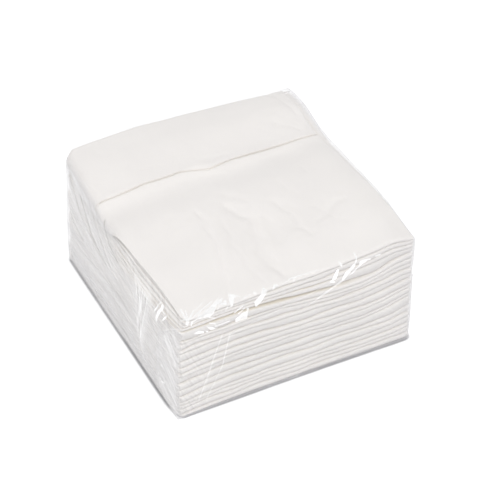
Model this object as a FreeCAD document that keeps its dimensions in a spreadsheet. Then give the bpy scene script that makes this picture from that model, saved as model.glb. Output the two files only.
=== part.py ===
import FreeCAD, Part
import math
import os
import Sketcher

# A pack of paper hand towels in a tight wrap of clear film. Every towel is one sheet of paper:
# it is folded in half, with the crease on the right, and then folded in three across its length,
# with the round fold in front and a short flap turned forward over the back. Because the flap adds
# two leaves at the back only, each towel is a slight wedge and the stack fans up towards the back.
# The frame's origin is the centre of the pack's underside; X runs along the front, Y to the back.

os.makedirs("parts", exist_ok=True)
doc = FreeCAD.newDocument("hand_towel_pack")

# ---------------------------------------------------------------- driving sizes, in millimetres

DRIVING_SIZES = {
    "towel_count": 20,
    "fold_width": 165.0,  # of the folded towel, from its cut edges to its crease
    "fold_depth": 172.0,  # of the folded towel, from its front fold to its back fold
    "flap_depth": 50.0,  # how far the flap comes forward from the back fold
    "edge_setback": 1.0,  # of the bottom panel's cut edge, inside the back fold
    "paper_thickness": 0.45,  # of the embossed paper, uncompressed
    "leaf_gap": 0.2,  # air between the two leaves of a panel
    "panel_gap": 0.2,  # air between two panels at the back
    "front_rise": 3.8,  # height of a folded towel over its front fold
    "towel_gap": 0.2,  # air between one towel and the next
    "film_thickness": 0.15,
    "film_clearance": 0.3,  # between the film and the towels
}

sizes = doc.addObject("Spreadsheet::Sheet", "Sizes")
for row, (alias, value) in enumerate(DRIVING_SIZES.items(), start=1):
    sizes.set(f"A{row}", alias)
    sizes.set(f"B{row}", str(value))
    sizes.setAlias(f"B{row}", alias)
doc.recompute()

# ------------------------------------------------- sizes that follow, as expressions on the sheet

PANEL = "(2 * Sizes.paper_thickness + Sizes.leaf_gap)"  # thickness of a panel, which is two leaves
PANEL_STEP = f"({PANEL} + Sizes.panel_gap)"  # from one panel to the next at the back
FRONT_RADIUS = f"((Sizes.front_rise - {PANEL}) / 2)"  # of the front fold, at mid panel
BACK_RADIUS = f"({PANEL_STEP} / 2)"  # of the back fold, at mid panel
MIDDLE_BACK = f"({PANEL} / 2 + {PANEL_STEP})"  # height of the middle panel at the back
MIDDLE_FALL = f"(Sizes.front_rise - {PANEL} / 2 - {MIDDLE_BACK})"  # its fall from front to back
FLAP_TOP = (  # height of the flap's free edge, over the bottom of its towel
    f"({MIDDLE_BACK} + {MIDDLE_FALL} * Sizes.flap_depth / Sizes.fold_depth"
    f" + {PANEL_STEP} + {PANEL} / 2)"
)
FLAP_REACH = "(Sizes.fold_depth - Sizes.flap_depth)"  # from the front fold to the flap's edge
WEDGE = f"atan(({FLAP_TOP} - Sizes.front_rise) / {FLAP_REACH})"  # slope that each towel adds
TOWEL_STEP = "(Sizes.front_rise + Sizes.towel_gap)"  # from one towel to the next, in front
BED = "(Sizes.film_thickness + Sizes.film_clearance)"  # height of the lowest towel's underside


# ------------------------------------------------------------------------------ sketch helpers


def value_of(expression):
    """The present value of an expression on the sheet, as a plain number."""
    result = sizes.evalExpression(expression)
    return float(getattr(result, "Value", result))


def sketch_on(body, name, plane):
    """A new sketch of the body, flat on the origin plane with that role."""
    sketch = body.newObject("Sketcher::SketchObject", name)
    planes = {feature.Role: feature for feature in body.Origin.OriginFeatures}
    sketch.AttachmentSupport = [(planes[plane], "")]
    sketch.MapMode = "FlatFace"
    return sketch


def constrain(sketch, kind, *where, expression):
    """A driving constraint whose value is bound to an expression on the sheet."""
    index = sketch.addConstraint(Sketcher.Constraint(kind, *where, value_of(expression)))
    sketch.setExpression(f"Constraints[{index}]", expression)


def place(sketch, curve, end, across=None, up=None):
    """Fixes one end of a curve by its distances from the sketch's origin."""
    for kind, expression in (("DistanceX", across), ("DistanceY", up)):
        if expression:
            constrain(sketch, kind, -1, 1, curve, end, expression=expression)


def draw_outline(sketch, corners):
    """A closed outline of straight lines whose corners are pairs of expressions."""
    points = [FreeCAD.Vector(value_of(x), value_of(y), 0) for x, y in corners]
    lines = [
        sketch.addGeometry(Part.LineSegment(start, end))
        for start, end in zip(points, points[1:] + points[:1])
    ]
    for line, following in zip(lines, lines[1:] + lines[:1]):
        sketch.addConstraint(Sketcher.Constraint("Coincident", line, 2, following, 1))
    for line, (across, up) in zip(lines, corners):
        place(sketch, line, 1, across, up)


# --------------------------------------------------------------------------------- the towels

# Section of a folded panel, seen from the front: two leaves that meet at the crease on the right.
CREASE = "Sizes.fold_width"
INSIDE_CREASE = f"({CREASE} - Sizes.paper_thickness)"
LOWER_LEAF = "Sizes.paper_thickness"
UPPER_LEAF = f"({PANEL} - Sizes.paper_thickness)"
LEAVES = [
    ("0", "0"),
    (CREASE, "0"),
    (CREASE, PANEL),
    ("0", PANEL),
    ("0", UPPER_LEAF),
    (INSIDE_CREASE, UPPER_LEAF),
    (INSIDE_CREASE, LOWER_LEAF),
    ("0", LOWER_LEAF),
]


def draw_fold_line(sketch):
    """The line that mid panel follows: along the bottom, round the front, up the back and forward."""
    depth, half_panel = value_of("Sizes.fold_depth"), value_of(f"{PANEL} / 2")
    front_radius, back_radius = value_of(FRONT_RADIUS), value_of(BACK_RADIUS)
    front = FreeCAD.Vector(half_panel + front_radius, half_panel + front_radius, 0)
    back = FreeCAD.Vector(depth - half_panel - back_radius, value_of(MIDDLE_BACK) + back_radius, 0)
    flap_end = FreeCAD.Vector(depth - value_of("Sizes.flap_depth"), back.y + back_radius, 0)
    up = FreeCAD.Vector(0, 1, 0)
    quarter = math.pi / 2

    def fold(centre, radius, first, last):
        """An arc of a fold, anticlockwise from one angle to another."""
        circle = Part.Circle(centre, FreeCAD.Vector(0, 0, 1), radius)
        return sketch.addGeometry(Part.ArcOfCircle(circle, first, last))

    def run(start, end):
        """A straight run of a panel."""
        return sketch.addGeometry(Part.LineSegment(start, end))

    cut_edge = FreeCAD.Vector(depth - value_of("Sizes.edge_setback"), half_panel, 0)
    bottom = run(cut_edge, front - up * front_radius)
    front_fold = fold(front, front_radius, quarter, 3 * quarter)
    middle = run(front + up * front_radius, back - up * back_radius)
    back_fold = fold(back, back_radius, -quarter, quarter)
    flap = run(back + up * back_radius, flap_end)
    for first, end, second, start in (
        (bottom, 2, front_fold, 2),
        (front_fold, 1, middle, 1),
        (middle, 2, back_fold, 1),
        (back_fold, 2, flap, 1),
    ):
        sketch.addConstraint(Sketcher.Constraint("Tangent", first, end, second, start))
    sketch.addConstraint(Sketcher.Constraint("Horizontal", bottom))
    sketch.addConstraint(Sketcher.Constraint("Parallel", middle, flap))
    constrain(sketch, "Radius", front_fold, expression=FRONT_RADIUS)
    constrain(sketch, "Radius", back_fold, expression=BACK_RADIUS)
    place(sketch, bottom, 1, "Sizes.fold_depth - Sizes.edge_setback", f"{PANEL} / 2")
    place(sketch, front_fold, 3, across="Sizes.front_rise / 2")
    place(
        sketch,
        back_fold,
        3,
        f"Sizes.fold_depth - {PANEL} / 2 - {BACK_RADIUS}",
        f"{MIDDLE_BACK} + {BACK_RADIUS}",
    )
    place(sketch, flap, 2, across=FLAP_REACH)


def make_towel(number):
    """One folded towel, with its own origin under the left end of its front fold.

    It is tilted about that origin by the wedges of the towels below it, and slid back by as much
    as the tilt brings its front fold forward, so that all the front folds stay flush.
    """
    name = f"towel_{number:02d}"
    body = doc.addObject("PartDesign::Body", name)
    body.Label = name
    fold_line = sketch_on(body, f"{name}_fold_line", "YZ_Plane")
    draw_fold_line(fold_line)
    leaves = sketch_on(body, f"{name}_leaves", "XZ_Plane")
    leaves.setExpression("AttachmentOffset.Base.z", "Sizes.edge_setback - Sizes.fold_depth")
    draw_outline(leaves, LEAVES)
    doc.recompute()

    sweep = body.newObject("PartDesign::AdditivePipe", f"{name}_folded_sheet")
    sweep.Profile = leaves
    sweep.Spine = (fold_line, [f"Edge{edge}" for edge in range(1, 6)])
    body.Tip = sweep

    below = number - 1
    tilt = f"({below} * {WEDGE})"
    body.Placement.Rotation = FreeCAD.Rotation(FreeCAD.Vector(1, 0, 0), 1)
    body.setExpression("Placement.Rotation.Angle", tilt)
    body.setExpression("Placement.Base.x", "-Sizes.fold_width / 2")
    body.setExpression(
        "Placement.Base.y", f"-Sizes.fold_depth / 2 + Sizes.front_rise / 2 * sin({tilt})"
    )
    body.setExpression("Placement.Base.z", f"{BED} + {below} * {TOWEL_STEP}")
    return body


# ------------------------------------------------------------------------------------ the film

STACK_FRONT = f"(Sizes.towel_count * {TOWEL_STEP} - Sizes.towel_gap)"
STACK_SLOPE = f"tan(Sizes.towel_count * {WEDGE})"


def make_block(name, wall, underside, corner_radius):
    """The stack's wedge grown by a wall all round, with its upright corners rounded."""
    body = doc.addObject("PartDesign::Body", name)
    side = sketch_on(body, f"{name}_side", "YZ_Plane")
    depth = f"(Sizes.fold_depth + 2 * {wall})"
    front_top = f"({BED} + {STACK_FRONT} + {wall})"
    draw_outline(
        side,
        [
            ("0", underside),
            (depth, underside),
            (depth, f"({front_top} + {depth} * {STACK_SLOPE})"),
            ("0", front_top),
        ],
    )
    doc.recompute()

    pad = body.newObject("PartDesign::Pad", f"{name}_pad")
    pad.Profile = side
    pad.Midplane = True
    pad.setExpression("Length", f"Sizes.fold_width + 2 * {wall}")
    body.Tip = pad
    doc.recompute()

    upright = [
        f"Edge{number}"
        for number, edge in enumerate(pad.Shape.Edges, start=1)
        if abs(edge.tangentAt(edge.FirstParameter).z) > 0.99
    ]
    rounding = body.newObject("PartDesign::Fillet", f"{name}_rounding")
    rounding.Base = (pad, upright)
    rounding.setExpression("Radius", corner_radius)
    body.Tip = rounding
    body.setExpression("Placement.Base.y", f"-Sizes.fold_depth / 2 - {wall}")
    return body


def make_film():
    """The film: a closed skin of one thickness, drawn tight over the stack."""
    inner_radius = "2 * Sizes.film_clearance"  # small enough to clear a towel's square corner
    outer_radius = f"{inner_radius} + Sizes.film_thickness"
    film = doc.addObject("Part::Cut", "film_wrap")
    film.Label = "film_wrap"
    film.Base = make_block("film_outside", BED, "0", outer_radius)
    film.Tool = make_block(
        "film_inside", "Sizes.film_clearance", "Sizes.film_thickness", inner_radius
    )
    return film


# ------------------------------------------------------------------ build, check and write out

pieces = [make_towel(number) for number in range(1, int(sizes.towel_count) + 1)]
pieces.append(make_film())
doc.recompute()

for item in doc.Objects:
    if {"Invalid", "Error"} & set(item.State):
        raise RuntimeError(f"{item.Label} failed: {item.State}")
    if item.isDerivedFrom("Sketcher::SketchObject") and not item.FullyConstrained:
        raise RuntimeError(f"{item.Label} is not fully constrained")
for piece in pieces:
    if piece.Shape.isNull() or not piece.Shape.isValid():
        raise RuntimeError(f"{piece.Label} has no sound shape")
for piece in pieces:
    piece.Shape.exportStep(f"parts/{piece.Label}.step")
    box = piece.Shape.BoundBox
    print(f"{piece.Label}: {piece.Shape.Volume:.0f} mm3, z {box.ZMin:.2f} to {box.ZMax:.2f}")
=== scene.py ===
"""A pack of twenty folded paper hand towels in clear film. Lengths are in mm until a mesh is made."""

import bpy
import numpy as np
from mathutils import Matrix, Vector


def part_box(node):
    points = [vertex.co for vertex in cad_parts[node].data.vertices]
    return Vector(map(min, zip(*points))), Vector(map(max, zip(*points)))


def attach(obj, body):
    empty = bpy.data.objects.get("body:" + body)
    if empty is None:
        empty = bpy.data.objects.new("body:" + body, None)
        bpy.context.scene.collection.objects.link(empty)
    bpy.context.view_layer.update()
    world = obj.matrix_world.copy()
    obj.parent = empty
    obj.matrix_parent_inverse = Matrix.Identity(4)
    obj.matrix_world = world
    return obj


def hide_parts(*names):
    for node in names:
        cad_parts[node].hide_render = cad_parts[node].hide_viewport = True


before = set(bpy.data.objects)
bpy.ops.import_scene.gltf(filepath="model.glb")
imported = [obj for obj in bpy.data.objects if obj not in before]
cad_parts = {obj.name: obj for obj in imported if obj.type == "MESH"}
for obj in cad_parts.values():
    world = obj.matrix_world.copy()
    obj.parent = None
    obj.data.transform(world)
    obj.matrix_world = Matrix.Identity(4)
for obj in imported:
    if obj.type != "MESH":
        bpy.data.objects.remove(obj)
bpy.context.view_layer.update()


# ---------------------------------------------------------------- the pile of towels
# Twenty hand towels of soft white paper lie loose on each other. The pile is nowhere quite
# level: it sinks to the front left corner, swells along the middle of each side, and each
# towel is a little thicker or thinner from place to place.
towel_names = sorted(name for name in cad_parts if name.startswith("towel_"))
towel_count = len(towel_names)
towel_low, towel_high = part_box(towel_names[0])
half_width = 1000 * (towel_high.x - towel_low.x) / 2
half_depth = 1000 * (towel_high.y - towel_low.y) / 2
bed = 1000 * towel_low.z
flap_depth = 50.0
flap_line = half_depth - flap_depth
sink_depth = 1.9  # of the pile in front of the flap
sway = 0.3  # of the pile's top, as a spread
panel_step = 0.58  # down from the flap to the panel in front of it

front_rim = np.array(
    [[-83, 79.4], [-78, 80.2], [-60, 80.9], [-42, 81.4], [-24, 81.9], [-6, 82.2], [12, 82.3], [30, 83.1],
     [48, 84.6], [60, 86.8], [68, 87.8], [74, 87.2], [80, 85.4], [83, 84.4]]
)
rear_rim = np.array(
    [[-83, 91.2], [-76, 92.5], [-56, 94.2], [-28, 94.3], [2, 93.2], [46, 89.7], [80, 87.2], [83, 86.5]]
)
right_rim = np.array(
    [[-87, 84.4], [-55, 88], [-29, 88.6], [-2, 87.2], [26, 85], [40, 84.8], [51, 87], [63, 90], [82, 88.6],
     [87, 86.5]]
)
left_rim = np.array(
    [[-87, 79.4], [-65, 79.8], [-27, 82], [-3, 84.2], [22, 86], [33, 87.6], [46, 88.6], [61, 89.6],
     [87, 90.4]]
)
front_left_top, front_right_top, rear_left_top, rear_right_top = 79.4, 84.4, 90.4, 86.5
flap_edge = np.array(
    [[-86, 31.5], [-75, 32.9], [-62, 32.3], [-49, 32.6], [-40, 33.6], [-23, 34.2], [-14, 35], [-6, 33.2],
     [3, 30.7], [11, 31.6], [20, 33.2], [37, 34], [54, 34.8], [74, 34.6]]
)
# Creases in the top towel, each a line of x, y marks with its depth and half width.
creases = [
    ([[-30, -8], [-29, -25], [-33, -45], [-38, -62], [-43, -80]], 1.0, 2.4),
    ([[-20, -18], [-22, -45], [-22, -60], [-18, -78]], 0.59, 1.4),
    ([[-7, 3], [-2, -2], [3, -8]], 0.77, 2.4),
    ([[-9, -10], [0, -24], [-3, -38], [-8, -58], [-4, -78]], 1.7, 4.6),
    ([[5, -14], [9, -30], [6, -50]], 0.68, 2.9),
    ([[17, -17], [23, -21], [28, -28]], 0.77, 1.7),
    ([[20, -22], [25, -33], [22, -45], [28, -53]], 0.85, 1.8),
    ([[34, -46], [46, -40], [59, -34]], 0.59, 1.5),
    ([[-72, -9], [-50, -9], [-36, -13]], 0.35, 1.2),
    ([[-49, -1], [-40, -4], [-31, -7], [-26, -13]], 0.4, 1.4),
    ([[-60, -4], [-46, -5], [-34, -9]], 0.29, 1.2),
    ([[30, -1], [34, -10], [37, -20]], 0.32, 1.2),
    ([[38, -3], [43, -10]], 0.32, 1.2),
    ([[50, 10], [53, 0]], 0.32, 1.2),
    ([[40, -32], [45, -44], [51, -56]], 0.35, 1.4),
    ([[-57, 84], [-56, 66], [-53, 50]], 0.42, 1.4),
    ([[-64, 80], [-60, 62]], 0.29, 1.5),
    ([[47, 61], [58, 52], [68, 41]], 0.48, 1.6),
    ([[52, 66], [62, 60], [70, 48]], 0.4, 1.4),
    ([[-9, 38.6], [2, 39.4], [11, 39.6], [12, 37]], 0.48, 1.1),
    ([[-70, 60], [-60, 52], [-40, 47]], 0.26, 1.8),
    ([[66, 84], [70, 72], [72, 58]], 0.51, 1.5),
]


def soft_line(at, marks, width=9.0):
    """Straight runs between the marks, averaged over a window of the width, which rounds their corners."""
    steps = np.linspace(-0.5, 0.5, 9) * width
    return np.mean([np.interp(at + step, marks[:, 0], marks[:, 1]) for step in steps], axis=0)


def ease(t):
    """0 before 0 and 1 after 1, with no corner at either end."""
    t = np.clip(t, 0, 1)
    return t * t * (3 - 2 * t)


def swell(x, y, length, seed, count=12):
    """Plane waves with seeded headings and crests about one length apart, added up to a spread of 1."""
    chance = np.random.default_rng(seed)
    heading = chance.uniform(0, 2 * np.pi, count)
    stride = 2 * np.pi / (length * chance.uniform(0.75, 1.5, count))
    start = chance.uniform(0, 2 * np.pi, count)
    total = np.zeros(np.broadcast(x, y).shape)
    for h, k, s in zip(heading, stride, start):
        total += np.cos((x * np.cos(h) + y * np.sin(h)) * k + s)
    return total / np.sqrt(count / 2)


def pile_height(x, y):
    """The four rims blended across the pile: each pair by distance, less the corners blended both ways. It
    sinks in front of the flap, where each towel has one panel less, and rounds off a little at the left."""
    s = np.clip((x + half_width) / (2 * half_width), 0, 1)
    t = np.clip((y + half_depth) / (2 * half_depth), 0, 1)
    front, rear = soft_line(x, front_rim), soft_line(x, rear_rim)
    left, right = soft_line(y, left_rim), soft_line(y, right_rim)
    corners = (1 - s) * ((1 - t) * front_left_top + t * rear_left_top)
    corners = corners + s * ((1 - t) * front_right_top + t * rear_right_top)
    height = (1 - t) * front + t * rear + (1 - s) * left + s * right - corners
    dip = soft_line(x, flap_edge, 6) - y
    sink = sink_depth * ease((dip - 0.3) / 8) * ease((32 - dip) / 22) * (1 - 0.6 * ease((x - 35) / 30))
    height = height - sink - ease((-77 - x) / 6)
    return height + sway * swell(x, y, 46, 5) * (1 - np.abs(2 * t - 1) ** 4)


def apart_from(a, b, a0, b0, a1, b1):
    """Distance from points to a segment."""
    share = ((a - a0) * (a1 - a0) + (b - b0) * (b1 - b0)) / ((a1 - a0) ** 2 + (b1 - b0) ** 2)
    share = np.clip(share, 0, 1)
    return np.hypot(a - a0 - share * (a1 - a0), b - b0 - share * (b1 - b0))


def apart_from_line(a, b, marks):
    """Distance from points to the nearest of the straight runs between the marks."""
    return np.min([apart_from(a, b, *start, *stop) for start, stop in zip(marks[:-1], marks[1:])], axis=0)


def top_skin(x, y):
    """The upper side of the top towel: the pile's height, pressed in along each crease by its depth times a
    bell curve of the distance from its slightly uneven line, and one panel lower in front of the flap."""
    height = pile_height(x, y)
    bent_x, bent_y = x + swell(x, y, 13, 31), y + swell(x, y, 13, 32)
    for marks, depth, width in creases:
        height = height - depth * np.exp(-((apart_from_line(bent_x, bent_y, marks) / width) ** 2))
    dip = soft_line(x, flap_edge, 4) - y
    return height - panel_step * ease((dip + 0.5) / 1.2) * ease((24 - dip) / 16)


# The lines between the towels along the pile's front, from the lowest up: their heights at
# the listed places, how open each gap is there, and how open it is at the left edge.
line_places = np.array([-78, -60, -42, -24, -6, 12, 30, 48, 60, 71, 79])
line_heights = np.array(
    [
        [2.0, 3.3, 4.1, 4.4, 4.1, 4.2, 4.4, 4.4, 4.5, 4.8, 5.0],
        [6.4, 7.4, 7.8, 8.5, 7.9, 7.9, 7.0, 7.2, 7.4, 8.0, 8.6],
        [9.3, 10.2, 10.6, 11.2, 10.8, 10.8, 10.6, 9.7, 10.3, 11.2, 12.4],
        [12.2, 13.0, 13.5, 13.9, 13.6, 13.6, 14.5, 14.3, 14.8, 16.5, 17.6],
        [17.0, 18.9, 19.9, 20.1, 19.8, 18.6, 20.1, 20.0, 19.7, 20.6, 22.0],
        [22.4, 24.4, 25.0, 24.6, 24.1, 23.2, 23.4, 22.7, 24.0, 25.9, 27.6],
        [28.0, 30.2, 30.2, 29.4, 29.2, 30.0, 29.3, 29.1, 31.0, 33.6, 35.6],
        [33.4, 35.3, 36.2, 36.0, 35.3, 33.9, 32.4, 31.9, 33.5, 36.2, 38.6],
        [36.4, 38.5, 39.3, 39.4, 37.8, 36.7, 37.8, 37.8, 39.0, 41.4, 43.4],
        [41.3, 43.2, 43.5, 43.4, 42.5, 41.8, 41.0, 40.2, 41.4, 44.0, 46.2],
        [47.0, 47.9, 48.2, 48.0, 46.2, 45.1, 46.4, 45.4, 47.3, 49.8, 51.4],
        [53.3, 54.2, 54.4, 54.1, 52.3, 51.6, 51.2, 51.0, 52.6, 54.6, 56.0],
        [56.5, 57.2, 57.3, 56.4, 55.9, 55.3, 54.2, 54.6, 56.6, 58.6, 59.8],
        [60.8, 61.6, 62.1, 62.0, 61.1, 59.0, 57.4, 58.0, 60.2, 62.8, 64.2],
        [63.3, 64.0, 64.3, 64.6, 63.6, 61.4, 60.5, 61.3, 63.8, 67.2, 68.4],
        [71.6, 71.7, 71.5, 70.5, 68.6, 66.3, 64.8, 64.6, 67.0, 71.8, 73.0],
        [73.6, 74.1, 74.3, 74.0, 72.6, 71.6, 71.8, 72.9, 75.3, 78.2, 77.2],
        [75.8, 76.5, 76.7, 76.3, 75.9, 75.1, 75.3, 76.6, 79.2, 81.6, 79.9],
        [78.0, 78.2, 78.6, 79.1, 79.4, 79.4, 80.1, 81.6, 83.8, 84.6, 82.6],
    ]
)
line_gaps = np.array(
    [
        [2, 2, 3, 1, 1, 1, 1, 1, 3, 1, 1],
        [2, 3, 4, 3, 1, 3, 5, 1, 1, 1, 1],
        [0, 0, 0, 0, 0, 1, 3, 2, 1, 2, 2],
        [2, 3, 3, 5, 3, 1, 3, 3, 6, 3, 2],
        [2, 2, 3, 5, 2, 2, 5, 4, 4, 3, 1],
        [2, 2, 5, 4, 7, 8, 3, 6, 4, 5, 1],
        [4, 2, 4, 4, 4, 3, 5, 2, 2, 1, 1],
        [3, 2, 2, 5, 2, 4, 3, 1, 2, 1, 1],
        [4, 2, 4, 7, 1, 2, 2, 2, 2, 1, 1],
        [4, 1, 3, 4, 6, 3, 3, 3, 2, 2, 1],
        [4, 5, 4, 7, 5, 2, 2, 2, 4, 2, 1],
        [3, 4, 1, 2, 3, 2, 1, 1, 2, 1, 1],
        [2, 4, 3, 1, 2, 5, 3, 4, 6, 3, 2],
        [1, 1, 1, 3, 4, 2, 2, 1, 1, 1, 1],
        [3, 6, 6, 5, 2, 2, 3, 4, 2, 2, 1],
        [6, 10, 17, 19, 17, 19, 15, 11, 8, 4, 3],
        [1, 1, 1, 1, 3, 5, 5, 3, 5, 2, 2],
        [3, 2, 2, 4, 6, 7, 6, 8, 3, 2, 2],
        [3, 6, 4, 6, 6, 6, 6, 4, 5, 3, 2],
    ]
)
left_gaps = np.array([0.30] * 13 + [0.6, 0.9, 1.1, 1.3, 1.4, 1.4])


def towel_levels(x, y):
    """The underside and the top of every towel. At the front the lines between the towels run as listed,
    and further in each towel's own thickness wanders by a fifth; both are shares of the pile's height. The
    gap on a line is widest at the front, and at the left for the topmost towels, and elsewhere a tenth of a
    millimetre."""
    depth_in = np.clip(y + half_depth, 0, None)
    near = np.exp(-depth_in / 40)
    broad = np.array([swell(x, y, 74, 300 + k) for k in range(towel_count)])
    narrow = np.array([swell(x, 0.5 * y, 27, 400 + k) for k in range(towel_count)])
    thick = np.clip(1 + 0.10 * broad + 0.08 * narrow, 0.5, 1.6)
    free = np.cumsum(thick, axis=0)[:-1] / thick.sum(0)
    full = soft_line(x, front_rim) - bed
    drawn = np.array([soft_line(x, np.stack([line_places, row], 1), 5) for row in line_heights]) - bed
    gap = np.array([soft_line(x, np.stack([line_places, row], 1), 7) for row in line_gaps])
    ripple = np.array([swell(x, 0 * x, 17, 540 + k) for k in range(towel_count - 1)])
    height = pile_height(x, y)
    line = bed + (height - bed) * ((1 - near) * free + near * (drawn + 0.22 * ripple) / full)
    gap = 0.10 + 0.09 * gap * np.exp(-depth_in / 13) * np.clip(1 + 0.3 * ripple, 0.3, 1.6)
    at_left = left_gaps.reshape(-1, *(1,) * np.ndim(x))
    gap = gap + at_left * np.exp(-np.clip(x + 80, 0, None) / 6) * ease(depth_in / 6) * ease((6 - y) / 26)
    floor_level = bed + 0 * line[:1]
    under = np.concatenate([floor_level, line + gap / 2])
    over = np.concatenate([line - gap / 2, top_skin(x, y)[None]])
    return under, over


# ------------------------------------------------------------------- one folded towel
# A towel is one sheet. A crease at its right hand end lays two leaves together, and two
# folds across them make a bottom panel, a middle panel and a 50 mm flap at the rear. The
# leaves' cut edges are at the left.
front_round = 2.2
rear_round = 1.6
crease_round = 1.1
# The top towel's hanging end is bent round this radius, this far in from the pile's end.
bend_round = 4.8
bend_inset = 3.6
bend_corner = 7


def front_line(x):
    """How far the pile's front stands back from a straight line: a little in the middle, more at right."""
    return 0.9 * (1 - np.clip(x / half_width, -1, 1) ** 2) + 0.3 * np.clip((x - 70) / 12, 0, 1.1) ** 2


def rear_corner(y, radius):
    """How far the left edge draws in along a quarter circle of the given radius at the rear left corner."""
    past = np.clip(y - half_depth + radius, 0, radius)
    return radius - np.sqrt(radius**2 - past**2)


def drawn_in(y):
    """How far the left end is drawn in by the film towards the rear."""
    return 0.8 * ease((y - 55) / 25)


def fold_rows(bottom, turn, middle, flap):
    """The path through the folds, one row a step: how much of its place it takes from the front, rear and
    flap lines, how far it stands out of them for the path and for its outer side, and the path's height and
    half thickness as shares of the towel, in front of the flap and under it. A fold is half of a rounded
    square. The steps crowd where the flap's edge lies on the middle panel."""
    def panel(share, places, heights, halves):
        n = len(share)
        table = np.zeros((n, 9))
        table[:, places[0]] = 1 - share
        table[:, places[1]] += share
        table[:, 5:7] = heights
        table[:, 7:9] = halves
        return table

    def fold(place, reach, near, far, lean):
        angle = np.linspace(0, np.pi, turn + 2)[1:-1]
        up = np.sign(np.cos(angle)) * np.abs(np.cos(angle)) ** 0.8
        out = np.sin(angle) ** 0.8
        table = np.zeros((turn, 9))
        table[:, place] = 1
        whole = (far - near) / 2 + lean[0]
        table[:, 3] = reach * out * (far - near) / 2 / whole
        table[:, 4] = reach * out * lean[1] / whole
        table[:, 5:7] = ((far + near) / 2 - (far - near) / 2 * up)[:, None]
        table[:, 7:9] = (-lean[2] * up)[:, None]
        return table

    def spaced(n, strength, crowd=0):
        fine = np.linspace(0, 1, 2001)
        at_edge = np.exp(-(((fine - 0.705) / 0.022) ** 2))
        density = 1 + strength * np.cos(2 * np.pi * fine) + crowd * at_edge
        run = np.cumsum(density) - density[0]
        return np.interp(np.linspace(0, 1, n), run / run[-1], fine)

    return np.vstack(
        [
            panel(spaced(bottom, 0.6), (1, 0), (0.25, 0.165), (-0.235, -0.150)),
            fold(0, -front_round, 0.25, 0.75, (0.235, 0.235, 0.235)),
            panel(spaced(middle, 0.3, 4), (0, 1), (0.75, 0.500), (0.235, 0.150)),
            fold(1, rear_round, 0.500, 0.832, (0.150, -0.150, -0.150)),
            panel(spaced(flap, 0.6), (1, 2), (0.832, 0.832), (-0.150, -0.150)),
        ]
    )


def leaf_columns(across, below, turn):
    """The two leaves' outline, out along the upper side of one leaf, round the crease and back along the
    other, then the same way back on their facing sides: place along the width, side, and how far round the
    crease."""
    def spaced(n):
        t = np.linspace(0, 1, n)
        return t - 0.6 * np.sin(2 * np.pi * t) / (2 * np.pi)

    angle = np.linspace(0, np.pi, turn + 2)[1:-1]
    place = np.concatenate([spaced(across), np.ones(turn), spaced(below)[::-1]])
    side = np.concatenate([np.ones(across), np.cos(angle), -np.ones(below)])
    out = np.concatenate([np.zeros(across), np.sin(angle), np.zeros(below)])
    outer, inner = 0.95, 0.14
    return (
        np.concatenate([place, place[::-1]]),
        np.concatenate([outer * side, inner * side[::-1]]),
        np.concatenate([out, out[::-1] * inner / outer]),
    )


# How far the upper towels' left ends stand in, and how far the top one hangs out over them.
left_wander = np.array(
    [[-88, 5.2], [-79, 5.5], [-65, 5.8], [-51, 5.3], [-27, 3.2], [-3, 1.0], [12, 0.6], [22, 1.2], [40, 1.6],
     [70, 1.4], [84, 2.0]]
)
drape = np.array(
    [[-5, 0], [3, 2.0], [13, 5.5], [24, 8.5], [34, 10.5], [48, 13.5], [60, 13.5], [70, 9.5], [86, 6.5]]
)


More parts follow.
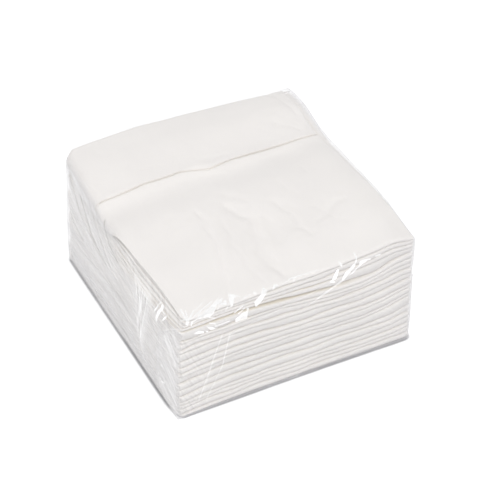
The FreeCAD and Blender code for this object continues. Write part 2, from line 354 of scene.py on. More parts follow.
def towel_points(number, rows, columns):
    """Every point of a towel's skin. Its place is set in plan first, from the front, rear and flap lines
    and the left and right edges, and then its height, as a share of the space between its neighbours. The
    top towel hangs over the pile's left end: what is past the bend goes round a quarter of a circle and
    then straight down, pressed to a third of its thickness. Also the painted shade at each point: darker
    and warmer by its distance in from the outline, and a little in front of the flap's edge."""
    chance = np.random.default_rng(70 + number)
    lean, shift, slide, swing = chance.uniform(-1, 1, 4)
    top_one = number == towel_count
    high = (number / towel_count) ** 4
    place, side, out = (column[None, :] for column in columns)
    in_front, behind, at_flap, path, stand, h0, h1, t0, t1 = (rows[:, i, None] for i in range(9))
    guess = half_width * (2 * place - 1)
    front = -half_depth + front_round + 0.3 + 0.4 * shift + 0.003 * lean * guess + front_line(guess)
    front = front + 0.25 * swell(guess, 0 * guess, 38, 600 + number)
    if number == 1:
        front = -half_depth + front_round - 0.5 + front_line(guess)
    rear = half_depth - rear_round - 0.5 + 0.5 * swing + 0.35 * swell(guess, 0 * guess, 44, 640 + number)
    edge = flap_line + 0.8 * slide + 0.3 * swell(guess, 0 * guess, 60, 680 + number)
    if top_one:
        edge = soft_line(guess, flap_edge, 4)
    y = in_front * front + behind * rear + at_flap * edge + path + side * stand
    corner = np.clip(1 - (y + half_depth) / 7, 0, 1) ** 2 * 3.0
    corner = corner + 0.85 * rear_corner(y, 2 + 4.5 * (number / towel_count) ** 1.3)
    corner = corner + drawn_in(y) * number / towel_count
    left = -half_width + high * soft_line(y, left_wander, 12) + corner
    left = left + 0.35 * swell(y, 40 * np.sign(side), 40, 720 + number) * (1 - high) * (number > 1) - 0.6
    left = left - 0.35 * (number == 1)
    right = half_width - crease_round + 0.45 - 0.1 * corner + 0.12 * swell(y, 0 * y, 50, 760 + number)
    # The leaves' cut ends stand apart a little.
    parted = np.exp(-place * 33) * (1 if number > 15 else 0.7)
    side = side * np.where(np.abs(side) < 0.2, 1 + 1.6 * parted, 1 - 0.10 * parted)
    if top_one:
        left = left - soft_line(y, drape, 8)
        lifted = np.clip(at_flap + behind * (h0 > 0.6), 0, 1)
        right = right - 5.2 * ease(lifted)
    x = left + (right - left) * place + crease_round * out
    under, over = towel_levels(np.maximum(x, -half_width), y)
    shut = ease((y - flap_line + 14) / 13)
    if top_one:
        shut = ease((y - edge + 1.2) / 1.4)
    height = h0 + (h1 - h0) * shut
    half = t0 + (t1 - t0) * shut
    share = height + side * half
    z = under[number - 1] + share * (over[number - 1] - under[number - 1])
    if top_one:
        bend_at = -half_width + bend_inset + 0.9 * rear_corner(y, bend_corner) + drawn_in(y)
        past = np.clip(bend_at - x, 0, None) * ease((y + 8) / 16)
        deep = np.clip(over[-1] - z, 0, None)
        deep = deep * (1 - 0.68 * ease(past / 6))
        turned = np.minimum(past / bend_round, np.pi / 2)
        down = np.clip(past - bend_round * np.pi / 2, 0, None)
        x = x + past - (bend_round - deep) * np.sin(turned)
        z = over[-1] - bend_round + (bend_round - deep) * np.cos(turned) - down
        z = z + 0.25 * swell(x, y, 14, 811) * ease(past / 5)
    # Painted shade: paper deep in the pile, seen only through its cracks, is painted darker and warmer.
    inward = np.minimum(y - y.min(axis=0), y.max(axis=0) - y)
    inward = np.minimum(inward, x - x.min(axis=1)[:, None])
    inward = np.minimum(inward, 0.35 * (x.max(axis=1)[:, None] - x))
    # The painted shade is strongest on both sides of the widest gap, towards the left.
    strength = 1 - 0.75 * ease((x - 5) / 45) if number in (16, 17) else 0.25
    painted_shade = ease((inward - 0.4) / 1.3) * strength
    if top_one:
        # A little painted shade on the top towel just in front of the flap's edge.
        flap_step_shade = 0.08 * np.exp(-np.clip(edge - y, 0, None) / 2.2) * (y < edge + 0.3)
        painted_shade = np.maximum(painted_shade * ease((deep - 0.45) / 0.8), flap_step_shade)
    return np.stack([x, y, z], axis=-1), painted_shade


def placed(name, data):
    """A new object in the scene that carries the data."""
    piece = bpy.data.objects.new(name, data)
    bpy.context.scene.collection.objects.link(piece)
    return piece


def tube_mesh(name, points, painted_shade):
    """A skin of four cornered faces between neighbouring points, closed round the outline, with the two cut
    ends of the path filled from one side of the leaf to the other."""
    rows, columns = points.shape[:2]
    index = np.arange(rows * columns).reshape(rows, columns)
    right = np.roll(index, -1, axis=1)
    skin = np.stack([index[:-1], right[:-1], right[1:], index[1:]], axis=-1).reshape(-1, 4)
    half = columns // 2
    near = np.arange(half - 1)
    cap = np.stack([near, columns - 1 - near, columns - 2 - near, near + 1], axis=-1)
    faces = np.vstack([skin, index[0][cap], index[-1][cap[:, ::-1]]])
    mesh = bpy.data.meshes.new(name)
    mesh.from_pydata(0.001 * points.reshape(-1, 3), [], faces.tolist())
    mesh.polygons.foreach_set("use_smooth", np.ones(len(mesh.polygons), bool))
    mesh.set_sharp_from_angle(angle=0.9)
    # Each point carries its painted shade for the material.
    mark = mesh.attributes.new("painted_shade", "FLOAT", "POINT")
    mark.data.foreach_set("value", painted_shade.ravel().astype(np.float32))
    return placed(name, mesh)


def feed(tree, socket, value):
    """Wires a node's input to another node's output, or sets it to a number or colour."""
    if isinstance(value, bpy.types.NodeSocket):
        tree.links.new(value, socket)
    else:
        socket.default_value = value


def added(tree, kind, inputs):
    """A new shader node, its inputs fed by name."""
    node = tree.nodes.new("ShaderNode" + kind)
    for name, value in inputs.items():
        feed(tree, node.inputs[name], value)
    return node


def mapped(tree, source, low, high, start=0, end=1):
    """A value's place between low and high, as one between start and end."""
    spans = {"From Min": low, "From Max": high, "To Min": start, "To Max": end}
    return added(tree, "MapRange", {"Value": source, **spans})


def tinted(tree, share, first, second):
    """A colour between two by a share, each of them a node's output or a colour."""
    mix = tree.nodes.new("ShaderNodeMix")
    mix.data_type = "RGBA"
    feed(tree, mix.inputs["Factor"], share)
    feed(tree, mix.inputs[6], first)
    feed(tree, mix.inputs[7], second)
    return mix.outputs[2]


def towel_paper():
    """Soft creped tissue: warm white, faintly mottled, matt, with a fine grain and a shallow crepe, and
    painted shade that makes it warmer and darker deep in the pile and in front of the flap. A tiny fleck
    of fibre lies on the flap."""
    paper = bpy.data.materials.new("towel_paper")
    paper.use_nodes = True
    tree = paper.node_tree
    nodes, links = tree.nodes, tree.links
    shader = nodes["Principled BSDF"]
    shader.inputs["Roughness"].default_value = 0.95
    shader.inputs["Specular IOR Level"].default_value = 0.15
    shader.inputs["Sheen Weight"].default_value = 0.12
    shader.inputs["Sheen Roughness"].default_value = 0.5
    place = nodes.new("ShaderNodeTexCoord").outputs["Object"]

    tone = nodes.new("ShaderNodeValToRGB")
    darker, lighter = tone.color_ramp.elements
    darker.position = 0.3
    darker.color = (0.878, 0.848, 0.826, 1)
    lighter.position = 0.7
    lighter.color = (0.900, 0.870, 0.846, 1)
    mottle = added(tree, "TexNoise", {"Vector": place, "Scale": 38, "Detail": 3})
    links.new(mottle.outputs["Fac"], tone.inputs["Fac"])

    fleck = nodes.new("ShaderNodeVectorMath")
    fleck.operation = "DISTANCE"
    fleck.inputs[1].default_value = (0.056, 0.053, 0.0887)
    links.new(place, fleck.inputs[0])
    spot = mapped(tree, fleck.outputs["Value"], 0.0003, 0.0009)
    stained = tinted(tree, spot.outputs["Result"], (0.45, 0.42, 0.38, 1), tone.outputs["Color"])
    # Painted shade: where the mesh marks it, the colour goes towards a darker warm tone.
    inside = nodes.new("ShaderNodeAttribute")
    inside.attribute_name = "painted_shade"
    warm = tinted(tree, inside.outputs["Fac"], stained, (0.80, 0.72, 0.58, 1))
    links.new(warm, shader.inputs["Base Color"])

    grain = added(tree, "TexNoise", {"Vector": place, "Scale": 1100, "Detail": 3})
    crepe = added(tree, "TexNoise", {"Vector": place, "Scale": 230, "Detail": 2})
    fine = added(tree, "Bump", {"Strength": 0.3, "Distance": 0.0003, "Height": grain.outputs["Fac"]})
    broad = added(tree, "Bump", {"Strength": 0.2, "Distance": 0.0006, "Height": crepe.outputs["Fac"]})
    links.new(fine.outputs["Normal"], broad.inputs["Normal"])
    links.new(broad.outputs["Normal"], shader.inputs["Normal"])
    return paper


paper = towel_paper()
plain_rows = fold_rows(8, 9, 14, 8)
top_rows = fold_rows(8, 9, 108, 36)
plain_columns = leaf_columns(64, 64, 4)
top_columns = leaf_columns(150, 90, 6)
for number, name in enumerate(towel_names, start=1):
    rows, columns = (top_rows, top_columns) if number == towel_count else (plain_rows, plain_columns)
    towel = tube_mesh("paper_" + name, *towel_points(number, rows, columns))
    towel.data.materials.append(paper)
    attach(towel, "root")
    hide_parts(name)


# ------------------------------------------------------------------------- the film
# One thin clear film is drawn round the pile and shrunk on. It rounds the pile's edges,
# bridges the gaps between the folds, puckers along the front upper edge, and is drawn
# down in pleats on the ends, where it is doubled and a little milky. The puckers' white
# highlights, its light and dark streaks and the grey shade in its end creases are painted.
film_round = 2.0
film_thickness = 0.12
film_triangles = 92000  # for one of its two sides
nominal_top = 88.0
most_haze = 0.23
# Flat puckers on the front and the upper edge, raised a little and painted as bright highlights.
# Corners are given as place along the width and distance past the rim, which is below it when negative.
rim_facets = [
    [[-69, -1], [-62.5, 2.5], [-52, 7], [-47.5, 8], [-50, 4.5], [-54.5, 3], [-57.5, -0.5], [-60, -3],
     [-67, -1.8]],
    [[-52.5, 2], [-47, 5.5], [-48, 1]],
    [[-43.5, 9.5], [-39, 5], [-37.5, 1.5], [-40, 4.2], [-42, 3.5], [-43.5, 1.5], [-45, -1], [-46.5, -1.5],
     [-45.5, 4]],
    [[-28.5, 4], [-27, 1.5], [-29, 0.5], [-30, 2]],
    [[-22, 4.5], [-20.5, 1], [-25.5, -7], [-29, -9.5], [-30, -4.5], [-27, -2]],
    [[-14.5, 4], [-12, 1], [-15, 1], [-17, -0.5], [-17, 1]],
    [[-43, -13], [-43, -15.5], [-38, -16], [-35, -16], [-34.5, -11.5], [-33.5, -8.5], [-35, -6.5],
     [-35.5, -10], [-38, -10], [-41, -12]],
    [[-62.5, -10.5], [-59, -12.5], [-56, -15], [-58, -15], [-60.5, -14]],
    [[-71.5, -12], [-67.5, -11.5], [-64.5, -13.5], [-64.5, -15], [-70, -13]],
    [[-63.5, -13.5], [-61, -14.5], [-62.5, -15.5]],
    [[30, 5], [31.3, 0], [31, -1.5], [29.5, 0]],
    [[27.5, -2], [29, -3], [28, -7.5], [27, -10], [24, -9.5], [25.5, -6]],
    [[22.5, -9.5], [25.5, -10.5], [26.5, -13], [23, -11]],
    [[40, -2.5], [40.5, -4.5], [38, -8], [35, -11], [32.5, -13.5], [31, -14], [32, -10], [33.5, -7.5]],
    [[43, -2.5], [47.5, -3.5], [48.5, -5.5], [45, -6], [42, -8], [39.5, -10.5], [36, -11.5], [39.5, -8.5],
     [43, -6.5]],
]
# Creases raised a little and painted as bright highlight lines: from, to, width and brightness.
rim_creases = [
    (-76, -2.5, -75, 11, 1.0, 0.8), (-75.5, -3, -73, 8.5, 0.7, 0.8), (-74, 0.5, -68.5, 6, 1.1, 0.8),
    (-71, 4, -60.5, 10, 0.6, 0.6), (-70, 1.5, -55.5, 8, 0.9, 0.8), (-73, -4.5, -72.5, -1.5, 0.9, 0.9),
    (-78, 2, -73, 1, 0.8, 0.7), (-72, -2, -66, 1, 0.8, 0.6), (-37, 1, -31.5, 2.5, 0.7, 0.7),
    (-9.5, 1.5, -4, 3, 0.6, 0.5), (-4.5, 3.5, 3, 3.5, 1.0, 0.8), (3, 3.5, 15.5, 3, 0.6, 0.7),
    (-1, 3, -2.5, 0, 0.7, 0.6), (-43.5, -7.5, -38, -4.5, 0.8, 0.7), (-41, -9.5, -36.5, -7, 0.7, 0.7),
    (-56.5, -13, -47, -13, 0.8, 0.6), (-61, -3.5, -57, -6, 0.6, 0.6), (-61, -8, -56.5, -11, 0.6, 0.6),
    (42, 5.5, 41.5, 1.5, 1.0, 0.8), (41.5, 1.5, 40.5, -2.5, 0.9, 0.8), (47.5, -4, 51, -5, 0.9, 0.8),
    (54.5, -4.5, 58, -5, 0.8, 0.7), (14, -21, 31, -13.5, 1.2, 0.35), (33, -14, 5, -25, 0.9, 0.15),
    (23, -12, -47, -25, 0.9, 0.12), (82.6, -29, 82.6, -22, 1.4, 0.8), (-52, -22, -61, -48, 0.7, 0.30),
    (-61, -48, -69, -71, 0.7, 0.25), (-47, -24, -52, -48.5, 0.7, 0.30), (-52, -48.5, -64, -73, 0.7, 0.25),
    (-57, -36, -66, -68, 0.5, 0.15), (60, -50, 74, -62, 0.6, 0.10), (55, -58, 72, -72, 0.6, 0.10),
    (-30, -62, -12, -74, 0.6, 0.10), (-72, 0.5, -60, 6, 0.5, 0.8), (-70, -1.5, -66, 2.5, 0.5, 0.7),
    (-64, -2, -57, 3, 0.6, 0.8), (-60, 3, -50, 9, 0.5, 0.9), (-55, 0, -50, 5, 0.5, 0.7),
    (-50, -2.5, -46, 2, 0.5, 0.7), (-45, 2, -41, 7, 0.5, 0.8),
]
# The same on the left end, as depth and height.
end_facets = [
    [[-60, 74.5], [-62, 75.5], [-62.5, 72.5], [-60.5, 69.5], [-58.5, 65.5], [-57, 61.5], [-57, 58.5],
     [-55, 58], [-54.5, 61.5], [-56, 66], [-59, 71]],
    [[-62, 62.5], [-64.5, 67.5], [-67.5, 71.5], [-67.5, 69.5], [-64.5, 65.5]],
]
end_creases = [
    (-52.5, 64, -55.5, 70, 1.0, 0.8), (-55, 69.5, -58.5, 75.5, 0.7, 0.6),
    (-61.5, 70.5, -65.5, 71, 0.8, 0.7), (-67.5, 60, -84, 74, 0.6, 0.35), (-63.5, 28, -66.5, 29, 0.9, 0.6),
    (-64, 14, -68.5, 16.5, 1.0, 0.6), (-66, 30, -70, 20, 0.6, 0.3), (-68, 18, -76, 10, 0.6, 0.3),
    (-60, 20, -64, 8, 0.6, 0.3), (-22, 71, -23.5, 41.5, 0.8, 0.22), (-23.5, 41.5, -29.5, 20.5, 0.8, 0.22),
    (-29.5, 20.5, -48.5, 3, 0.9, 0.22), (-4, 64, -22, 71.5, 0.8, 0.15),
    (-43.5, 73.5, -54.5, 49.5, 0.8, 0.25), (-54.5, 49.5, -61.5, 21.5, 0.8, 0.2),
]
# Creases on the left end, sunk a little and painted with grey shade: the line's marks, its width and how
# dark the painted shade is.
end_shade_lines = [
    ([[75.5, 44], [66, 40], [56, 38.5]], 0.9, 0.55),
    ([[56, 76], [52.5, 70], [41, 54.5], [29, 49.5], [18, 47]], 1.9, 0.38),
    ([[23, 86], [20.5, 83], [11, 69.5], [-1, 64.5]], 1.1, 0.5),
    ([[84.5, 17], [81, 11], [77, 6.5]], 1.6, 0.5),
    ([[17.5, 37], [8, 35.5], [-3, 36], [-21, 31]], 0.9, 0.35),
    ([[82, 86], [75.5, 79.5], [60, 61.5], [52, 55]], 0.9, 0.4),
    ([[33.5, 8], [10, 8.5], [-15, 10]], 1.0, 0.25),
    ([[48, 8], [42, 7], [35, 5]], 0.8, 0.4),
    ([[12, 35], [5, 22], [0, 18], [-8, 13]], 0.8, 0.25),
]


def broken_line(at, spacing, seed, span=600):
    """Straight runs between seeded heights at uneven marks about one spacing apart, each a crease."""
    chance = np.random.default_rng(seed)
    marks = np.cumsum(spacing * chance.uniform(0.35, 1.65, int(2.2 * span / spacing))) - span
    return np.interp(at, marks, chance.uniform(-1, 1, len(marks)))


def facets(a, b, size, seed):
    """Flat three cornered facets between seeded heights at the points of a slanting grid, so that each has
    its own tilt and meets the next at a crease."""
    a, b = a / size, b / size
    a = a + 0.5 * b
    i, j = np.floor(a).astype(int), np.floor(b).astype(int)
    u, v = a - i, b - j
    heights = np.random.default_rng(seed).uniform(-1, 1, (97, 89))

    def corner(p, q):
        return heights[p % 97, q % 89]

    lower = corner(i, j) * (1 - u - v) + corner(i + 1, j) * u + corner(i, j + 1) * v
    upper = corner(i + 1, j + 1) * (u + v - 1) + corner(i, j + 1) * (1 - u) + corner(i + 1, j) * (1 - v)
    return np.where(u + v < 1, lower, upper)


def inside_by(a, b, corners):
    """How far points lie inside a polygon: the distance to its nearest side, negative outside. A point is
    inside when a line from it crosses the sides an odd number of times."""
    corners = corners + corners[:1]
    nearest = apart_from_line(a, b, corners)
    odd = np.zeros(a.shape, bool)
    for (a0, b0), (a1, b1) in zip(corners[:-1], corners[1:]):
        crosses = (b0 > b) != (b1 > b)
        odd ^= crosses & (a < a0 + (a1 - a0) * (b - b0) / (b1 - b0 + 1e-9 * (b1 == b0)))
    return np.where(odd, nearest, -nearest)


def shine(a, b, polygons, segments):
    """The height of the puckers, the edge of their painted highlight, which is 0.5 on their outline and
    rises or falls by 1 over a millimetre across it, and the painted brightness of the nearest of them. A
    flat one is itself broken into small facets of uneven painted brightness."""
    edge = np.full(a.shape, -2.0)
    raised = 0 * a
    gleam = 0 * a
    uneven = np.clip(0.95 + 0.5 * facets(a, b, 2.2, 63), 0.55, 1)
    uneven = uneven * np.clip(0.95 + 0.5 * broken_line(a - 0.6 * b, 2.2, 64), 0.55, 1)
    for polygon in polygons:
        inside = inside_by(a, b, polygon)
        gleam = np.where(0.5 + inside > edge, uneven, gleam)
        edge = np.maximum(edge, 0.5 + inside)
        raised = np.maximum(raised, np.clip(0.5 + inside, 0, 1))
    for a0, b0, a1, b1, width, bright in segments:
        away = apart_from(a, b, a0, b0, a1, b1)
        nearer = (0.5 + 0.5 * width - away > edge) & (away < 0.5 * width + 1.5)
        gleam = np.where(nearer, bright, gleam)
        edge = np.where(nearer, 0.5 + 0.5 * width - away, edge)
        raised = np.maximum(raised, bright * np.clip(1 - away / (0.5 + 0.5 * width), 0, 1))
    return raised, edge, gleam


def box_lattice(xs, ys, zs):
    """The points on the outside of a box lattice and the faces between them, each point once."""
    grid = np.full((len(xs), len(ys), len(zs)), -1)
    shell = np.ones(grid.shape, bool)
    shell[1:-1, 1:-1, 1:-1] = False
    grid[shell] = np.arange(shell.sum())
    i, j, k = np.nonzero(shell)

    def side(plane, flip):
        quads = np.stack([plane[:-1, :-1], plane[1:, :-1], plane[1:, 1:], plane[:-1, 1:]], axis=-1)
        quads = quads.reshape(-1, 4)
        return quads[:, ::-1] if flip else quads

    faces = np.vstack(
        [
            side(grid[:, :, 0], True),
            side(grid[:, :, -1], False),
            side(grid[:, 0, :], False),
            side(grid[:, -1, :], True),
            side(grid[0, :, :], True),
            side(grid[-1, :, :], False),
        ]
    )
    return np.stack([xs[i], ys[j], zs[k]], axis=-1), faces


def crowded(low, high, count, towards_low, towards_high):
    """Marks from low to high, closer together at the ends by the given strengths."""
    t = np.linspace(0, 1, count)
    weight = 1 / (1 + towards_low * np.exp(-t / 0.12) + towards_high * np.exp(-(1 - t) / 0.12))
    run = np.concatenate([[0], np.cumsum((weight[1:] + weight[:-1]) / 2)])
    return low + (high - low) * run / run[-1]


def round_off(x, v, centre_x, centre_v, radius, share):
    """Points left of a centre and above or behind it are drawn in to a circle round it, by a share."""
    reach = np.hypot(x - centre_x, v - centre_v)
    past = (x < centre_x) & (v > centre_v)
    pulled = np.where(past, np.minimum(1, radius / np.maximum(reach, 1)), 1)
    pulled = 1 + (pulled - 1) * share
    x = np.where(past, centre_x + (x - centre_x) * pulled, x)
    v = np.where(past, centre_v + (v - centre_v) * pulled, v)
    return x, v


def fitted_film(lattice):
    """The film before its creases, and the way out of it at each point. A box's edges are rounded by
    pulling each point to the same distance from a smaller box, and it is fitted to the pile's height and
    edges."""
    low = np.array([-half_width, -half_depth, 0]) + film_round
    high = np.array([half_width, half_depth, nominal_top]) - film_round
    core = np.clip(lattice, low, high)
    away = lattice - core
    away /= np.linalg.norm(away, axis=1)[:, None]
    # The edges round the base are sharp.
    low_edge = ease(-1.6 * away[:, 2])[:, None]
    x, y, up = ((core + film_round * away) * (1 - low_edge) + lattice * low_edge).T
    up = up / nominal_top
    front_share = np.clip((half_depth - y) / (2 * half_depth), 0, 1) ** 3
    y = y * (1 + 0.95 / half_depth) + front_share * front_line(x)
    hung = ease((y + 12) / 18)
    inset = up**4 * soft_line(y, left_wander, 16) * (1 - hung) - 1.0 - 0.35 * hung
    x = x * (1 + 0.4 / half_width) + np.clip(-x / half_width, 0, 1) * inset
    x = x + 0.8 * np.clip(x / half_width, 0, 1) * ease(4 * up)
    drawn = drawn_in(y) * ease(2 * up - 0.6)
    x = x + drawn * np.clip(-x / half_width, 0, 1)
    top = pile_height(x, y)
    z = up * (top + 0.55)
    # Over the top towel's hanging end the film keeps to a rounder corner.
    bend_x = -half_width + bend_inset + 0.85 * rear_corner(y, bend_corner) + drawn
    x, z = round_off(x, z, bend_x, top - bend_round, 5.4, hung)
    # The rear left upright edge is square at the floor and rounder and rounder above.
    radius = 2.5 + 5 * np.clip(z / nominal_top, 0, 1) ** 1.3
    x, y = round_off(x, y, -half_width - 1.8 + radius + drawn, half_depth + 1 - radius, radius, 1)
    return x, y, z, away


def drawn_film(lattice):
    """The film's surface, lifted along its normal by pleats and puckers. Also how milky it is, how pale the
    milk is against the painted grey shade in its creases, the edge and brightness of the puckers' painted
    highlights, and the place across the painted streaks and their strength."""
    x, y, z, away = fitted_film(lattice)
    to_left = np.clip(-away[:, 0], 0, 1)
    to_front = np.clip(-away[:, 1], 0, 1)
    to_top = np.clip(away[:, 2], 0, 1)
    to_end = np.abs(away[:, 0])
    past_rim = z - soft_line(x, front_rim) - 0.5 + np.clip(y + half_depth + 1 - front_line(x), 0, None)

    # The ends: wrinkles run down and forwards, steep above and flatter below, and combed
    # upright across the milky panel.
    heights = np.arange(0, 100.0)
    run = np.cumsum(1 / (0.2 + ease((heights - 32) / 45)))
    stream = y - np.interp(z, heights, run) + 2 * swell(y, z, 60, 43)
    bed_line = z + 0.05 * y + 1.5 * swell(y, z, 80, 46)
    steep = ease((z - 34) / 16)
    pleats = steep * (0.26 * broken_line(stream, 7, 44) + 0.12 * broken_line(stream, 2.6, 45))
    flat_pleats = 0.22 * broken_line(bed_line, 7, 49) + 0.08 * broken_line(bed_line, 2.5, 50)
    pleats = pleats + (1 - steep) * flat_pleats
    from_panel = np.interp(z, [0, 8, 20, 41, 71, 80], [-44, -38, -29, -23.5, -22, -20])
    panel = ease((from_panel - y) / 4) * ease((y + 54 + 0.26 * (z - 74)) / 9) * ease((76 - z) / 9)
    combed = 0.2 * broken_line(y + 0.06 * z, 2.6, 48) + 0.15 * broken_line(y + 0.12 * z, 4.1, 58)
    lift = to_end * ((1 - panel) * pleats + panel * combed)
    calm = np.maximum(np.clip(away[:, 0], 0, 1) * ease((z - 60) / 14), ease((np.abs(y) - 74) / 9))
    lift = lift * (1 - 0.8 * calm)
    # Painted shade along the creases on the left end, which also sink the film.
    dark = 0 * x
    for marks, width, strength in end_shade_lines:
        bell = np.exp(-((apart_from_line(y, z, marks) / (0.6 * width)) ** 2))
        dark = np.maximum(dark, strength * bell)
    dark = dark * to_left
    lift = lift - 0.5 * dark

    near_rim = np.exp(-(((past_rim - 1) / 5.5) ** 2)) * np.maximum(to_front, to_top)
    patchy = 0.15 + 0.85 * ease((-30 - x) / 14)
    crumple = 0.3 + 0.4 * facets(x, past_rim, 5.5, 51) + 0.2 * facets(x + past_rim, past_rim, 2.7, 52)
    lift = lift + near_rim * patchy * crumple
    lift = lift + to_front * 0.07 * broken_line(x + 0.5 * z, 12, 55)
    lift = lift + to_front * 0.06 * broken_line(z + 0.35 * x, 9, 54)
    lift = lift + to_top * 0.05 * facets(x, y, 22, 56)

    face = np.clip(1.6 * np.maximum(to_front, to_top), 0, 1)
    raised, edge, gleam = shine(x, past_rim, rim_facets, rim_creases)
    raised_end, edge_end, gleam_end = shine(y, z, end_facets, end_creases)
    face_end = np.clip(1.6 * to_left, 0, 1)
    tilt = 0.35 + 0.25 * facets(x, past_rim, 3.0, 62)
    lift = lift + tilt * (raised * face + raised_end * face_end)
    lift = np.clip(lift, -0.35, 1.6)
    edge, edge_end = np.where(face > 0.5, edge, -2), np.where(face_end > 0.5, edge_end, -2)
    gleam = np.where(edge_end > edge, gleam_end, gleam)
    edge = np.maximum(edge, edge_end)
    # Fine painted light and dark streaks run along the wrinkles, upright on the milky panel. Where they
    # are strong and how far across them each point lies is kept for the material.
    across = stream * steep + (bed_line + 60) * (1 - steep)
    across = across + ((y + 0.08 * z) - across) * panel
    low_corner = ease((-56 - y) / 6) * ease((60 + 0.93 * (-67 - y) - z) / 4)
    across = across + ((0.87 * z - 0.48 * y) - across) * low_corner
    streaks = to_left * (0.6 + 3.2 * panel + 1.6 * low_corner) * ease((80 - z - 0.1 * y) / 8)
    across = np.where(to_left > 0.01, across, x + 0.45 * z)
    streaks = np.maximum(streaks, 0.3 * to_front * ease((-62 - x) / 14) + 0.12 * to_front)

    haze = 0.015 + 0.05 * to_front * ease((x - 60) / 24) + 0.05 * to_front * ease((12 - z) / 10)
    haze = haze + 0.06 * to_front
    on_pleats = 0.20 * np.clip(pleats, -0.2, 0.5) * (1 - panel)
    haze = haze + to_end * (0.11 + on_pleats + 0.12 * ease((20 - z) / 14))
    haze = haze + 0.16 * to_top * ease((x - 75) / 4) * ease((y - 20) / 20)
    haze = haze + to_left * 0.12 * ease((-56 - y) / 3) * ease((60 + 0.93 * (-67 - y) - z) / 2)
    haze = haze + 0.15 * np.maximum(to_front, to_left) * ease((1.8 - z) / 1.2) + 0.2 * ease((0.6 - z) / 0.5)
    haze = haze * (1 - 0.85 * to_left * ease((z + 0.12 * y - 58) / 8) * ease((4 - y) / 10))
    # The milk is less pale where the crease shade is painted.
    pale = haze / np.maximum(haze + 1.5 * dark, 1e-6)
    haze = np.clip(np.maximum(haze, dark), 0, most_haze)
    return np.stack([x, y, z], axis=-1) + away * lift[:, None], haze, pale, edge, gleam, across, streaks


lattice, film_faces = box_lattice(
    crowded(-half_width, half_width, 280, 0.5, 0.2),
    crowded(-half_depth, half_depth, 190, 1.6, 0.2),
    crowded(0, nominal_top, 120, 0.2, 1.6),
)
film_points, *marks = drawn_film(lattice)
mark_names = ("haze", "pale", "edge", "gleam", "across", "streaks")
film_mesh = bpy.data.meshes.new("film_skin")
film_mesh.from_pydata(0.001 * film_points, [], film_faces.tolist())
for name, values in zip(mark_names, marks):
    film_mesh.attributes.new(name, "FLOAT", "POINT").data.foreach_set("value", values.astype(np.float32))
film = placed("film_skin", film_mesh)
# Flat stretches need few faces: the mesh is thinned to what its creases and its milky and
# painted-highlight outlines need, and then given the film's thickness by a second skin inside it.
busy = film.vertex_groups.new(name="busy")
plain = film_points[:, 2] < 1
plain |= (film_points[:, 2] < 78) & ((film_points[:, 1] > 80) | (film_points[:, 0] > 82))
plain |= (film_points[:, 1] > -70) & (film_points[:, 2] > 84) & (film_points[:, 0] > -75)
edge, gleam = marks[2:4]
outlined = (edge > -0.8) & (edge < 1.5) & (gleam > 0.01)
busy.add(np.nonzero(plain & ~outlined)[0].tolist(), 1.0, "REPLACE")
busy.add(np.nonzero(~plain & ~outlined)[0].tolist(), 0.8, "REPLACE")
thin = film.modifiers.new("thin", "DECIMATE")
thin.ratio = film_triangles / (2 * len(film_faces))
thin.use_collapse_triangulate = True
thin.vertex_group = "busy"
thin.vertex_group_factor = 0.0001
thinned = bpy.data.meshes.new_from_object(film.evaluated_get(bpy.context.evaluated_depsgraph_get()))
film.modifiers.clear()
film.vertex_groups.clear()
count = len(thinned.vertices)
outer, normals = np.zeros(3 * count), np.zeros(3 * count)
thinned.vertices.foreach_get("co", outer)
thinned.vertices.foreach_get("normal", normals)
outer, normals = outer.reshape(-1, 3), normals.reshape(-1, 3)
corners = np.zeros(len(thinned.loops), int)
thinned.loops.foreach_get("vertex_index", corners)
corners = corners.reshape(-1, 3)
skin = np.vstack([outer, outer - 0.001 * film_thickness * normals])
skin[:, 2] = np.maximum(skin[:, 2], np.repeat([0, 0.001 * film_thickness], count))
film_mesh.clear_geometry()
film_mesh.from_pydata(skin, [], np.vstack([corners, corners[:, ::-1] + count]).tolist())
film_mesh.polygons.foreach_set("use_smooth", np.ones(len(film_mesh.polygons), bool))
film_mesh.set_sharp_from_angle(angle=0.26)
for name in mark_names:
    values = np.zeros(count)
    thinned.attributes[name].data.foreach_get("value", values)
    mark = film_mesh.attributes.get(name) or film_mesh.attributes.new(name, "FLOAT", "POINT")
    mark.data.foreach_set("value", np.tile(values, 2).astype(np.float32))


def joined(tree, operation, first, second):
    """Two values, each a socket or a number, joined by an operation."""
    step = tree.nodes.new("ShaderNodeMath")
    step.operation = operation
    feed(tree, step.inputs[0], first)
    feed(tree, step.inputs[1], second)
    return step.outputs["Value"]


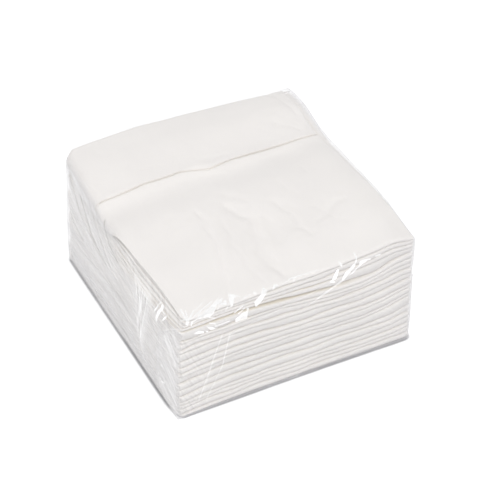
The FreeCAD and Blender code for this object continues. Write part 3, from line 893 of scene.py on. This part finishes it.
def clear_film():
    """Thin clear film: what is behind it shows, the more so the squarer it is looked at, and the rest is
    mirrored: 5 % head on and all of it edge on. Where doubled or scuffed it is a little milky. Its creases
    get a painted grey shade, and its puckers and light streaks painted white highlights, mirrored white."""
    made = bpy.data.materials.new("clear_film")
    made.use_nodes = True
    tree = made.node_tree
    nodes, links = tree.nodes, tree.links
    nodes.remove(nodes["Principled BSDF"])

    def level(name):
        source = nodes.new("ShaderNodeAttribute")
        source.attribute_name = name
        return source.outputs["Fac"]

    def mixed(share, first, second):
        mix = added(tree, "MixShader", {"Fac": share})
        links.new(first, mix.inputs[1])
        links.new(second, mix.inputs[2])
        return mix.outputs["Shader"]

    facing = added(tree, "LayerWeight", {"Blend": 0.5})
    share = nodes.new("ShaderNodeMath")
    share.operation = "MULTIPLY_ADD"
    share.inputs[1].default_value = 0.95
    share.inputs[2].default_value = 0.05
    links.new(joined(tree, "POWER", facing.outputs["Facing"], 5), share.inputs[0])
    clear = nodes.new("ShaderNodeBsdfTransparent")
    gloss = added(tree, "BsdfGlossy", {"Roughness": 0.07, "Color": (1, 1, 1, 1)})
    skin = mixed(share.outputs["Value"], clear.outputs["BSDF"], gloss.outputs["BSDF"])

    # Painted streaks: noise that changes fast across them and slowly along them, its upper part a
    # painted white highlight, its lower part painted shade.
    upright = nodes.new("ShaderNodeSeparateXYZ")
    links.new(nodes.new("ShaderNodeTexCoord").outputs["Object"], upright.inputs["Vector"])
    slow = joined(tree, "MULTIPLY", upright.outputs["Z"], 75)
    at = added(tree, "CombineXYZ", {"X": level("across"), "Y": slow}).outputs["Vector"]
    grain = added(tree, "TexNoise", {"Vector": at, "Scale": 0.62, "Detail": 3, "Roughness": 0.62})

    def banded(low, high, strength):
        band = mapped(tree, grain.outputs["Fac"], low, high, 0, strength)
        return joined(tree, "MULTIPLY", band.outputs["Result"], level("streaks"))

    painted_light_streak = banded(0.44, 0.66, 0.18)
    # There is no painted dark streak where the painted light ones are strong.
    fading = nodes.new("ShaderNodeMath")
    fading.operation = "SUBTRACT"
    fading.use_clamp = True
    fading.inputs[0].default_value = 1.6
    links.new(level("streaks"), fading.inputs[1])
    painted_dark_streak = joined(tree, "MULTIPLY", banded(0.46, 0.34, 0.10), fading.outputs["Value"])

    # Painted shade: the milk goes grey in the creases and the dark streaks.
    paler = joined(tree, "SUBTRACT", level("pale"), joined(tree, "MULTIPLY", painted_dark_streak, painted_dark_streak))
    paler = joined(tree, "SUBTRACT", paler, painted_dark_streak)
    tone = tinted(tree, paler, (0.38, 0.37, 0.35, 1), (0.90, 0.892, 0.915, 1))
    milk = added(tree, "BsdfDiffuse", {"Color": tone})
    milky = mixed(joined(tree, "ADD", level("haze"), painted_dark_streak), skin, milk.outputs["BSDF"])

    # Painted highlights: the puckers and light streaks are mixed to a white mirror.
    sharp = mapped(tree, level("edge"), 0.32, 0.68)
    gleaming = joined(tree, "MULTIPLY", sharp.outputs["Result"], level("gleam"))
    white = added(tree, "BsdfGlossy", {"Roughness": 0.07, "Color": (1, 1, 1, 1)})
    whole = mixed(joined(tree, "MAXIMUM", gleaming, painted_light_streak), milky, white.outputs["BSDF"])
    links.new(whole, nodes["Material Output"].inputs["Surface"])
    return made


film.data.materials.append(clear_film())
# So thin and clear a film lets the light through to the paper and throws no shadow.
film.visible_shadow = False
film.visible_diffuse = False
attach(film, "root")
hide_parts("film_wrap")


# ------------------------------------------------------------- floor, light and camera
# The pack stands on a plain white floor in a white light tent, with three small lamps that
# light the paper. The floor carries a painted contact shadow: its colour and glow darken with ambient
# occlusion right under the pack's edge.
floor_mesh = bpy.data.meshes.new("floor")
floor_mesh.from_pydata([(-8, -8, 0), (8, -8, 0), (8, 8, 0), (-8, 8, 0)], [], [(0, 1, 2, 3)])
floor = placed("floor", floor_mesh)


def seen_directly(tree):
    """1 for what the camera sees, straight, mirrored or through the film, and 0 for light on its way."""
    path = tree.nodes.new("ShaderNodeLightPath").outputs
    seen = joined(tree, "MAXIMUM", path["Is Camera Ray"], path["Is Glossy Ray"])
    return joined(tree, "MAXIMUM", seen, path["Is Transmission Ray"])


floor_paint = bpy.data.materials.new("floor_paint")
floor_paint.use_nodes = True
tree = floor_paint.node_tree
paint = tree.nodes["Principled BSDF"]
paint.inputs["Roughness"].default_value = 0.9
paint.inputs["Specular IOR Level"].default_value = 0.1
# Painted contact shadow: ambient occlusion darkens the floor's colour and its glow for the camera.
contact_shadow = added(tree, "AmbientOcclusion", {"Distance": 0.0039})
contact_shadow.samples = 16
unshadowed = mapped(tree, contact_shadow.outputs["AO"], 0.62, 0.94)
unshadowed.interpolation_type = "SMOOTHSTEP"
shadow_tint = tinted(tree, unshadowed.outputs["Result"], (0.30, 0.30, 0.31, 1), (0.52, 0.52, 0.53, 1))
tree.links.new(shadow_tint, paint.inputs["Base Color"])
level = joined(tree, "MULTIPLY", seen_directly(tree), unshadowed.outputs["Result"])
paint.inputs["Emission Color"].default_value = (1, 1, 1, 1)
tree.links.new(joined(tree, "MULTIPLY", level, 0.7), paint.inputs["Emission Strength"])
floor.data.materials.append(floor_paint)

world = bpy.data.worlds.new("studio")
bpy.context.scene.world = world
world.use_nodes = True
tree = world.node_tree
tent = mapped(tree, seen_directly(tree), 0, 1, 0.585)
backdrop = tree.nodes["Background"]
backdrop.inputs["Color"].default_value = (1, 1, 1, 1)
tree.links.new(tent.outputs["Result"], backdrop.inputs["Strength"])


def turned_to(place, aim):
    """The turn that makes a lamp or camera at a place look at the aim."""
    return (Vector(aim) - Vector(place)).to_track_quat("-Z", "Y").to_euler()


def softbox(name, place, size, power):
    """A square lamp at a place, turned to face the pack, that the film doesn't mirror."""
    lamp = bpy.data.lights.new(name, "AREA")
    lamp.shape = "SQUARE"
    lamp.size = size
    lamp.energy = power
    stand = placed(name, lamp)
    stand.visible_glossy = False
    stand.location = place
    stand.rotation_euler = turned_to(place, (0, 0, 0.05))


softbox("lamp_key", (-0.45, -1.45, 2.0), 0.6, 23.3)
softbox("lamp_front", (0.5, -1.1, 1.8), 0.4, 1.5)
softbox("lamp_left", (-1.7, 0.5, 1.1), 0.4, 2.3)

camera = bpy.data.cameras.new("camera")
camera.lens = 158.4
camera.sensor_width = 36
camera.clip_start = 0.05
camera.clip_end = 50
eye = placed("camera", camera)
eye.location = (-0.4790, -0.9745, 0.9841)
eye.rotation_euler = turned_to(eye.location, (0.00827, -0.00434, 0.04106))
bpy.context.scene.camera = eye

bpy.context.scene.view_settings.view_transform = "Standard"
